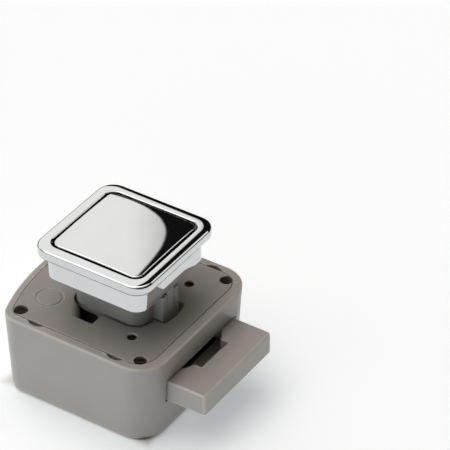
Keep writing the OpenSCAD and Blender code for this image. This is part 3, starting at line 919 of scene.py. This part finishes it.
# it glows a little, but not in a rectangle below the lock: the floor there is a painted contact shadow
sides = []
for axis, mid, half in (("X", -0.0015, 0.0243), ("Y", 0.0, 0.0235)):
    gap = nt.nodes.new("ShaderNodeMath")
    gap.operation = "SUBTRACT"
    nt.links.new(parts.outputs[axis], gap.inputs[0])
    gap.inputs[1].default_value = mid
    off = nt.nodes.new("ShaderNodeMath")
    off.operation = "ABSOLUTE"
    nt.links.new(gap.outputs["Value"], off.inputs[0])
    beyond = nt.nodes.new("ShaderNodeMath")
    beyond.operation = "SUBTRACT"
    nt.links.new(off.outputs["Value"], beyond.inputs[0])
    beyond.inputs[1].default_value = half
    sides.append(beyond.outputs["Value"])
flat = nt.nodes.new("ShaderNodeMath")
flat.operation = "MAXIMUM"
nt.links.new(sides[0], flat.inputs[0])
nt.links.new(sides[1], flat.inputs[1])
glow = ranged(nt, flat.outputs["Value"], 0.0, 0.30, -0.0035, -0.0005)
glow.interpolation_type = "SMOOTHSTEP"
ebb = nt.nodes.new("ShaderNodeMath")
ebb.operation = "MULTIPLY"
dim = ranged(nt, parts.outputs["X"], 1.0, 0.3, 0.10, 0.18)
nt.links.new(glow.outputs["Result"], ebb.inputs[0])
nt.links.new(dim.outputs["Result"], ebb.inputs[1])
nt.links.new(ebb.outputs["Value"], b.inputs["Emission Strength"])
fm = bpy.data.meshes.new("floor")
half = 4.0
fm.from_pydata([(-half, -half, -0.02372), (half, -half, -0.02372), (half, half, -0.02372), (-half, half, -0.02372)], [], [(0, 1, 2, 3)])
fm.materials.append(fl_mat)
floor = bpy.data.objects.new("floor", fm)
scene.collection.objects.link(floor)

# surroundings: a large soft light above and behind, low white panels in front and on the left,
# and a dark opening behind and to the right
world = bpy.data.worlds.new("tent")
scene.world = world
world.use_nodes = True
wt = world.node_tree
wt.nodes.clear()
w_out_node = wt.nodes.new("ShaderNodeOutputWorld")
bg = wt.nodes.new("ShaderNodeBackground")
wt.links.new(bg.outputs["Background"], w_out_node.inputs["Surface"])
wc = wt.nodes.new("ShaderNodeTexCoord")


def dot_node(vec):
    d = wt.nodes.new("ShaderNodeVectorMath")
    d.operation = "DOT_PRODUCT"
    wt.links.new(wc.outputs["Generated"], d.inputs[0])
    d.inputs[1].default_value = vec
    return d.outputs["Value"]


def math_node(op, a, b=None):
    n = wt.nodes.new("ShaderNodeMath")
    n.operation = op
    for i, v in enumerate((a, b)):
        if v is None:
            continue
        if isinstance(v, (int, float)):
            n.inputs[i].default_value = v
        else:
            wt.links.new(v, n.inputs[i])
    return n.outputs["Value"]


def smooth_node(v, lo, hi, a=0.0, b=1.0):
    n = wt.nodes.new("ShaderNodeMapRange")
    n.interpolation_type = "SMOOTHSTEP"
    n.inputs["From Min"].default_value = lo
    n.inputs["From Max"].default_value = hi
    n.inputs["To Min"].default_value = a
    n.inputs["To Max"].default_value = b
    wt.links.new(v, n.inputs["Value"])
    return n.outputs["Result"]


c_az, c_el = math.radians(-32.0), math.radians(37.2)
mid = (math.sin(c_az) * math.cos(c_el), math.cos(c_az) * math.cos(c_el), math.sin(c_el))
e_r = (math.cos(c_az), -math.sin(c_az), 0.0)
e_u = (-math.sin(c_el) * math.sin(c_az), -math.sin(c_el) * math.cos(c_az), math.cos(c_el))
depth = math_node("MAXIMUM", dot_node(mid), 0.02)
uu = math_node("DIVIDE", dot_node(e_r), depth)
vv = math_node("DIVIDE", dot_node(e_u), depth)
near_v = math_node("MAXIMUM", math_node("MINIMUM", vv, 0.16), -0.16)
skew = math_node("ADD", math_node("MULTIPLY", near_v, -8.75), 3.325)
bulge = math_node("ADD", uu, math_node("MULTIPLY", math_node("MULTIPLY", vv, vv), skew))
dark = smooth_node(bulge, -0.002, 0.003)
# limits of the dark opening: to the right, above, below, and only in front of that direction
dark = math_node("MULTIPLY", dark, smooth_node(uu, 1.7, 1.95, 1.0, 0.0))
height = dot_node((0.0, 0.0, 1.0))
dark = math_node("MULTIPLY", dark, smooth_node(height, 0.80, 0.86, 1.0, 0.0))
dark = math_node("MULTIPLY", dark, smooth_node(uu, -0.30, -0.18))
dark = math_node("MULTIPLY", dark, smooth_node(dot_node(mid), 0.05, 0.15))
lit = math_node("SUBTRACT", 1.0, dark)
azimuth = math_node("ARCTAN2", dot_node((1.0, 0.0, 0.0)), dot_node((0.0, 1.0, 0.0)))
elevation = math_node("ARCSINE", height)


def sector(mid_deg, half_deg, soft_deg):
    """One inside a range of compass directions (from +Y towards +X), zero outside."""
    turned = wt.nodes.new("ShaderNodeMath")
    turned.operation = "WRAP"
    wt.links.new(math_node("SUBTRACT", azimuth, math.radians(mid_deg)), turned.inputs[0])
    turned.inputs[1].default_value = math.pi
    turned.inputs[2].default_value = -math.pi
    off = math_node("ABSOLUTE", turned.outputs[0])
    return smooth_node(off, math.radians(half_deg - soft_deg), math.radians(half_deg + soft_deg), 1.0, 0.0)


def belt(lo_deg, hi_deg, soft_deg):
    """One inside a range of heights above the horizon."""
    top = smooth_node(elevation, math.radians(hi_deg - soft_deg), math.radians(hi_deg + soft_deg), 1.0, 0.0)
    if lo_deg <= 0:
        return top
    return math_node("MULTIPLY", top, smooth_node(elevation, math.radians(lo_deg - soft_deg), math.radians(lo_deg + soft_deg)))


low = belt(0, 22, 5)
middle = belt(22, 52, 4)
above = smooth_node(elevation, math.radians(48), math.radians(56))
lean = smooth_node(dot_node((math.sin(math.radians(-82)), math.cos(math.radians(-82)), 0.0)), -0.3, 0.3)
PANELS = [
    (math_node("MULTIPLY", sector(-62, 30, 4), middle), (1.175, 1.175, 1.14)),
    (math_node("MULTIPLY", sector(-2, 30, 4), middle), (0.36, 0.36, 0.36)),
    (math_node("MULTIPLY", sector(-2, 30, 4), low), (0.29, 0.30, 0.30)),
    (math_node("MULTIPLY", sector(178, 30, 6), low), (0.60, 0.80, 0.90)),
    (math_node("MULTIPLY", sector(178, 30, 6), middle), (0.12, 0.08, 0.08)),
    (math_node("MULTIPLY", sector(238, 30, 6), low), (0.86, 1.00, 1.07)),
    (math_node("MULTIPLY", sector(238, 30, 6), middle), (0.26, 0.24, 0.25)),
    (math_node("MULTIPLY", above, lean), (2.56, 2.47, 2.39)),
    (math_node("MULTIPLY", above, math_node("SUBTRACT", 1.0, lean)), (0.40, 0.36, 0.31)),
    (math_node("MULTIPLY", sector(218, 15, 4), belt(34, 46, 2)), (1.25, 1.16, 1.05)),
]
# a curved strip light on the right, behind the lock: it draws the line on the bolt side's edges
side_y = math_node("ABSOLUTE", math_node("SUBTRACT", dot_node((0.0, 1.0, 0.0)), 0.646))
side_x = dot_node((1.0, 0.0, 0.0))
hoop = math_node("MULTIPLY", smooth_node(side_y, 0.04, 0.075, 1.0, 0.0), smooth_node(side_x, -0.09, -0.03))
hoop = math_node("MULTIPLY", hoop, smooth_node(side_x, 0.62, 0.67, 1.0, 0.0))
hoop = math_node("MULTIPLY", hoop, smooth_node(height, 0.30, 0.40))
total = None
for share, colour in PANELS:
    panel = wt.nodes.new("ShaderNodeVectorMath")
    panel.operation = "SCALE"
    panel.inputs[0].default_value = colour
    wt.links.new(share, panel.inputs["Scale"])
    if total is None:
        total = panel.outputs["Vector"]
    else:
        both = wt.nodes.new("ShaderNodeVectorMath")
        both.operation = "ADD"
        wt.links.new(total, both.inputs[0])
        wt.links.new(panel.outputs["Vector"], both.inputs[1])
        total = both.outputs["Vector"]
shade = wt.nodes.new("ShaderNodeVectorMath")
shade.operation = "SCALE"
wt.links.new(total, shade.inputs[0])
wt.links.new(lit, shade.inputs["Scale"])
strip = wt.nodes.new("ShaderNodeVectorMath")
strip.operation = "SCALE"
strip.inputs[0].default_value = (1.15, 1.12, 1.08)
wt.links.new(hoop, strip.inputs["Scale"])
whole = wt.nodes.new("ShaderNodeVectorMath")
whole.operation = "ADD"
wt.links.new(shade.outputs["Vector"], whole.inputs[0])
wt.links.new(strip.outputs["Vector"], whole.inputs[1])
fill = wt.nodes.new("ShaderNodeVectorMath")
fill.operation = "ADD"
wt.links.new(whole.outputs["Vector"], fill.inputs[0])
fill.inputs[1].default_value = (0.008, 0.008, 0.008)
wt.links.new(fill.outputs["Vector"], bg.inputs["Color"])
bg.inputs["Strength"].default_value = 1.0
